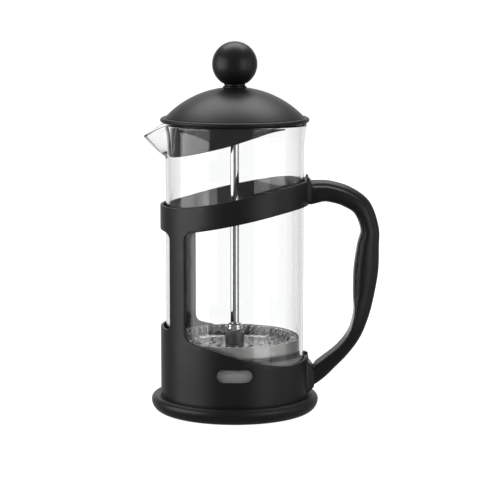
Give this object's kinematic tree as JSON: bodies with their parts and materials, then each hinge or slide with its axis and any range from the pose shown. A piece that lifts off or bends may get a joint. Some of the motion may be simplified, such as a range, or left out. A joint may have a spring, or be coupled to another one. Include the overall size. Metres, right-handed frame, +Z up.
{
  "type": "french press",
  "caption": "Press-type coffee maker: glass beaker in a dark moulded holder with a side handle, domed lid, ball knob and a plunger with a steel filter.",
  "frame": {"origin": "on the beaker's axis, in the plane of the foot's underside", "axes": "+Z up along the plunger rod, -X towards the pouring spout, +X towards the handle"},
  "size_m": [0.1188, 0.0852, 0.1881],
  "materials": {
    "black_plastic": "satin moulded",
    "skirt_plastic": "gloss moulded",
    "beaker_glass": "clear, fire polished",
    "polished_rod": "polished",
    "filter_steel": "pressed stainless",
    "mesh_steel": "woven stainless",
    "zinc_screw": "zinc plated",
    "insert_brass": "turned",
    "soft_ring": "matt"
  },
  "bodies": {
    "holder": {"holder_frame": "black_plastic", "foot_ring": "black_plastic", "handle": "black_plastic", "upper_handle_screw": "zinc_screw", "lower_handle_screw": "zinc_screw", "beaker_cushion": "soft_ring"},
    "beaker": {"glass_beaker": "beaker_glass"},
    "lid_carrier": {"rod_bush": "black_plastic"},
    "lid": {"lid_cover": "black_plastic", "lid_skirt": "skirt_plastic"},
    "plunger": {"knob": "black_plastic", "knob_insert": "insert_brass", "plunger_rod": "polished_rod", "rod_lock_nut": "polished_rod", "hub_sleeve": "filter_steel", "spiral_plate": "filter_steel", "edge_spring": "filter_steel", "mesh_filter": "mesh_steel", "cross_plate": "filter_steel", "cross_plate_stud": "filter_steel"}
  },
  "joints": [
    {"name": "beaker_lift", "type": "slide", "parent": "holder", "child": "beaker", "axis": [0, 0, 1], "range_m": [0, 0.12]},
    {"name": "lid_lift", "type": "slide", "parent": "beaker", "child": "lid_carrier", "axis": [0, 0, 1], "range_m": [0, 0.125]},
    {"name": "lid_turn", "type": "hinge", "parent": "lid_carrier", "child": "lid", "pos_m": [0, 0, 0.15], "axis": [0, 0, 1], "continuous": true},
    {"name": "plunger_slide", "type": "slide", "parent": "lid_carrier", "child": "plunger", "axis": [0, 0, 1], "range_m": [0, 0.091]}
  ]
}
